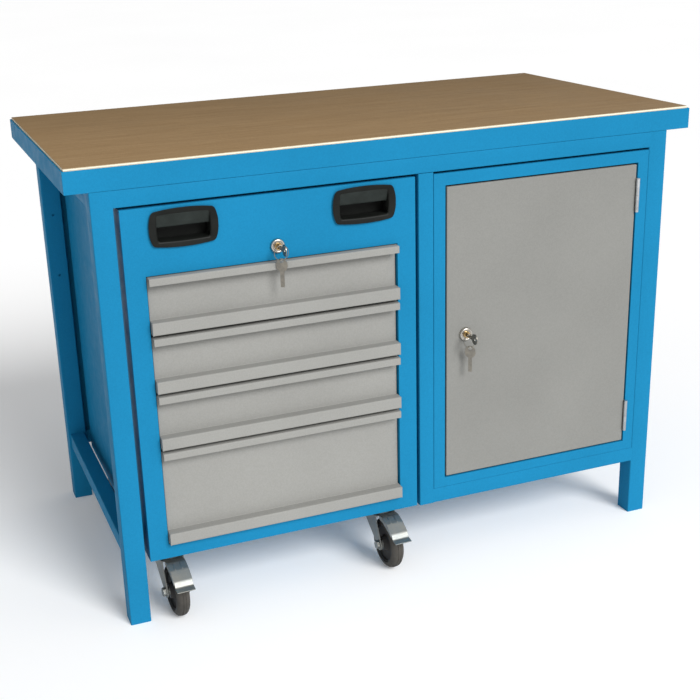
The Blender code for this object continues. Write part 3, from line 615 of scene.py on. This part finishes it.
def lock_body(node):
    """Cam lock: a domed rim, a sunk ring round the plug, and a threaded barrel with its nut behind."""
    low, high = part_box(node)
    centre = ((low[0] + high[0]) / 2, low[1], (low[2] + high[2]) / 2)
    radius = (high[0] - low[0]) / 2
    depth = high[1] - low[1]
    profile = [(0.0068, 0.0012), (0.0084, 0.0012), (0.0090, 0.0004), (0.0098, 0.0), (0.0112, 0.0003),
               (0.0123, 0.0012), (radius - 0.0002, 0.0026), (radius, 0.0036), (radius, LOCK_FACE)]
    pitch = (depth - LOCK_FACE - 0.0005) / THREAD_TURNS
    for k in range(THREAD_TURNS):
        start = LOCK_FACE + pitch * k
        profile += [(0.0083, start + pitch * 0.1), (0.0088, start + pitch * 0.5),
                    (0.0083, start + pitch * 0.9)]
    profile += [(0.0082, depth), (0.0068, depth)]
    put(f"{node}_finish", turned(profile, centre, (0, 1, 0), 48), NICKEL, BODY_OF[node], (node,),
        smooth=40.0)
    near = LOCK_FACE + NUT_GAP[BODY_OF[node]]
    far = near + NUT_THICKNESS
    nut = turned([(0.0091, near), (0.0118, near), (0.0118, far), (0.0091, far)], centre, (0, 1, 0), 6)
    bevelled(put(f"{node}_nut", nut, ZINC, BODY_OF[node], (), smooth=None), 0.0003)


def finish_locks():
    for owner in ("door", "cart"):
        lock_body(f"{owner}_lock_body")
        rounded(f"{owner}_lock_plug", BRASS, 0.0003, 2, 40.0)
        rounded(f"{owner}_key", KEY_STEEL, 0.0003, 2, 50.0)
        rounded(f"{owner}_spare_key", KEY_STEEL, 0.0003, 2, 50.0)
        rounded(f"{owner}_key_ring", KEY_STEEL, 0.0001, 1, 70.0)


def joint_frame(name):
    """The joint's place, as a matrix whose X runs along its axis and whose Z is up."""
    joint = next(j for j in frame["joints"] if j["name"] == name)
    x = Vector(joint["axis"])
    z = Vector((0, 0, 1))
    turn = Matrix((x, z.cross(x), z)).transposed().to_4x4()
    return Matrix.Translation(joint["pos_m"]) @ turn


def finish_wheel(node, joint):
    """A grooved rubber tyre on a dished centre, with a ball bearing in its hub."""
    place = joint_frame(joint)
    centre, along = place.translation, place.to_3x3() @ Vector((1, 0, 0))
    radius, half = WHEEL_RADIUS, WHEEL_HALF
    crown = [(radius, 0.0), (radius, 0.0018), (radius - 0.0010, 0.0023), (radius - 0.0010, 0.0030),
             (radius - 0.0003, 0.0036), (radius - 0.0011, 0.0066), (radius - 0.0031, 0.0092),
             (radius - 0.0064, 0.0117), (radius - 0.0110, half), (0.0380, half), (0.0370, half - 0.0008)]
    web = [(0.0360, half - 0.0022), (0.0345, half - 0.0022), (0.0335, 0.0075), (0.0310, 0.0060),
           (0.0170, 0.0060), (0.0150, 0.0085), (0.0140, 0.0150), (0.0132, 0.0158)]
    bearing = [(0.0120, 0.0158), (0.0116, 0.0150), (0.0085, 0.0150), (0.0082, 0.0172), (0.0056, 0.0172)]
    side = crown + web + bearing
    profile = [(r, -d) for r, d in reversed(side[1:])] + side
    bm = turned(profile, centre, along, 72)
    for face in bm.faces:
        offset = face.calc_center_median() - centre
        away = (offset - along * offset.dot(along)).length
        face.material_index = 0 if away > TYRE_INNER_RADIUS else 1 if away > BEARING_OUTER_RADIUS else 2
    put(f"{node}_finish", bm, (RUBBER, CENTRE, ZINC), BODY_OF[node], (node,), smooth=38.0)


def finish_pedal(node, joint):
    """Pressed pedal: side flanges, two stiffening ribs, and a tread lip that flares out."""
    place = joint_frame(joint)
    path = rounded_path([(0.0018, 0.0010), (-0.0140, 0.0020), (-0.0335, -0.0042), (-0.0535, -0.0167),
                         (-0.0600, -0.0257), (-0.0730, -0.0282)], PEDAL_BEND, 6)
    bm = drawn_sheet(path, 0, -PEDAL_HALF, PEDAL_HALF)
    bmesh.ops.transform(bm, verts=bm.verts, matrix=place)
    pedal = put(f"{node}_finish", bm, ZINC, BODY_OF[node], (node,), smooth=None)
    thickened(pedal, PEDAL_SHEET)
    bevelled(pedal, 0.0004, 2, 60.0)
    flange = [(-0.0010, 0.0018), (-0.0140, 0.0028), (-0.0335, -0.0034), (-0.0530, -0.0156),
              (-0.0540, -0.0225), (-0.0330, -0.0125), (-0.0180, -0.0070), (-0.0040, -0.0060)]
    rib = [(-0.0160, 0.0018), (-0.0180, 0.0030), (-0.0320, -0.0015), (-0.0345, -0.0044)]
    flange_loops = [(-FLANGE_HALF_SHEET, 0.0), (FLANGE_HALF_SHEET, 0.0)]
    rib_loops = [(-0.0022, 0.0014), (-0.0010, 0.0), (0.0010, 0.0), (0.0022, 0.0014)]
    parts = []
    for side in (-1, 1):
        for outline, middle, loops in ((flange, side * PEDAL_HALF, flange_loops),
                                       (rib, side * RIB_FROM_MIDDLE, rib_loops)):
            parts.append(loft([[(middle + out, y, z - drop) for y, z in outline] for out, drop in loops]))
    trim = joined(*parts)
    bmesh.ops.transform(trim, verts=trim.verts, matrix=place)
    flanges = put(f"{node}_flanges", trim, ZINC, BODY_OF[node], (), smooth=None)
    bevelled(flanges, 0.0003, 2, 50.0)


def finish_casters():
    for side in ("left", "right"):
        finish_wheel(f"caster_front_{side}_wheel", f"front_{side}_wheel_spin")
        finish_wheel(f"caster_rear_{side}_wheel", f"rear_{side}_wheel_spin")
        finish_pedal(f"caster_front_{side}_brake_pedal", f"front_{side}_brake_press")
        for node in (f"caster_front_{side}_fork", f"caster_rear_{side}_fork", f"caster_front_{side}_plate",
                     f"caster_front_{side}_axle"):
            rounded(node, ZINC, 0.0005, 2, 40.0)
        for end in ("front", "rear"):
            plate_bolts(end, side)


def plate_bolts(end, side):
    """Four domed hexagon bolts through a caster's top plate."""
    node = f"caster_front_{side}_plate" if end == "front" else f"caster_rear_{side}_fork"
    low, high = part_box(node)
    middle = ((low[0] + high[0]) / 2, high[1] - PLATE_HALF)
    reach = (PLATE_HALF - BOLT_INSET[0], PLATE_HALF - BOLT_INSET[1])
    bolts = []
    for x in (-1, 1):
        for y in (-1, 1):
            centre = (middle[0] + x * reach[0], middle[1] + y * reach[1], high[2] - PLATE_THICKNESS)
            bolts.append(turned([(0.0, -0.0042), (0.0040, -0.0040), (0.0056, -0.0030), (0.0056, 0.0),
                                 (0.0, 0.0)], centre, (0, 0, 1), 6))
    put(f"caster_{end}_{side}_bolts", joined(*bolts), ZINC, "cart", (), smooth=30.0)


# --- Room ------------------------------------------------------------------------------------

def make_floor():
    bm = bmesh.new()
    bmesh.ops.create_grid(bm, x_segments=1, y_segments=1, size=FLOOR_SIZE)
    mesh = bpy.data.meshes.new("floor")
    bm.to_mesh(mesh)
    bm.free()
    floor = bpy.data.objects.new("floor", mesh)
    bpy.context.scene.collection.objects.link(floor)
    pale = new_material("pale_floor", (0.93, 0.93, 0.93), 0.85)
    soft = texture(pale, "ShaderNodeTexNoise", scale=0.7, detail=2.0)
    connect(pale, "Base Color", ramp(pale, soft.outputs["Fac"], ((0.3, 0.92), (0.7, 0.94))))
    shader = pale.node_tree.nodes["Principled BSDF"]
    shader.inputs["Emission Color"].default_value = (1.0, 1.0, 1.0, 1.0)
    shader.inputs["Emission Strength"].default_value = FLOOR_GLOW
    mesh.materials.append(pale)


def make_light():
    """A studio sky that is brightest at the front right, and one broad soft light from there."""
    world = bpy.data.worlds.new("studio")
    bpy.context.scene.world = world
    world.use_nodes = True
    tree = world.node_tree
    direction = tree.nodes.new("ShaderNodeTexCoord")
    toward = tree.nodes.new("ShaderNodeVectorMath")
    toward.operation = "DOT_PRODUCT"
    toward.inputs[1].default_value = SKY_BRIGHT_SIDE
    fade = tree.nodes.new("ShaderNodeMapRange")
    fade.inputs["From Min"].default_value = -1.0
    fade.inputs["From Max"].default_value = 1.0
    fade.inputs["To Min"].default_value = SKY_DIM
    fade.inputs["To Max"].default_value = SKY_BRIGHT
    tree.links.new(direction.outputs["Generated"], toward.inputs[0])
    tree.links.new(toward.outputs["Value"], fade.inputs["Value"])
    tree.links.new(fade.outputs["Result"], tree.nodes["Background"].inputs["Strength"])
    tree.nodes["Background"].inputs["Color"].default_value = (1.0, 1.0, 1.0, 1)
    sun = bpy.data.lights.new("soft_sun", "SUN")
    sun.energy = SUN_POWER
    sun.angle = math.radians(SUN_SPREAD)
    light = bpy.data.objects.new("soft_sun", sun)
    light.rotation_euler = Vector(SUN_DIRECTION).to_track_quat("-Z", "Y").to_euler()
    bpy.context.scene.collection.objects.link(light)
    bpy.context.scene.view_settings.view_transform = "Standard"


def make_camera():
    yaw, pitch, roll = (math.radians(angle) for angle in (CAMERA_YAW, CAMERA_PITCH, CAMERA_ROLL))
    forward = Vector((-math.sin(yaw) * math.cos(pitch), math.cos(yaw) * math.cos(pitch), -math.sin(pitch)))
    level = Vector((math.cos(yaw), math.sin(yaw), 0.0))
    upright = level.cross(forward)
    right = level * math.cos(roll) + upright * math.sin(roll)
    up = upright * math.cos(roll) - level * math.sin(roll)
    data = bpy.data.cameras.new("camera")
    data.sensor_width = CAMERA_SENSOR
    data.lens = CAMERA_LENS
    data.shift_x = CAMERA_SHIFT_X
    camera = bpy.data.objects.new("camera", data)
    turn = Matrix((right, up, -forward)).transposed().to_4x4()
    camera.matrix_world = Matrix.Translation(CAMERA_PLACE) @ turn
    bpy.context.scene.collection.objects.link(camera)
    bpy.context.scene.camera = camera


finish_bench()
finish_cabinet()
finish_drawers()
finish_cart_shell()
finish_locks()
finish_casters()
make_floor()
make_light()
make_camera()
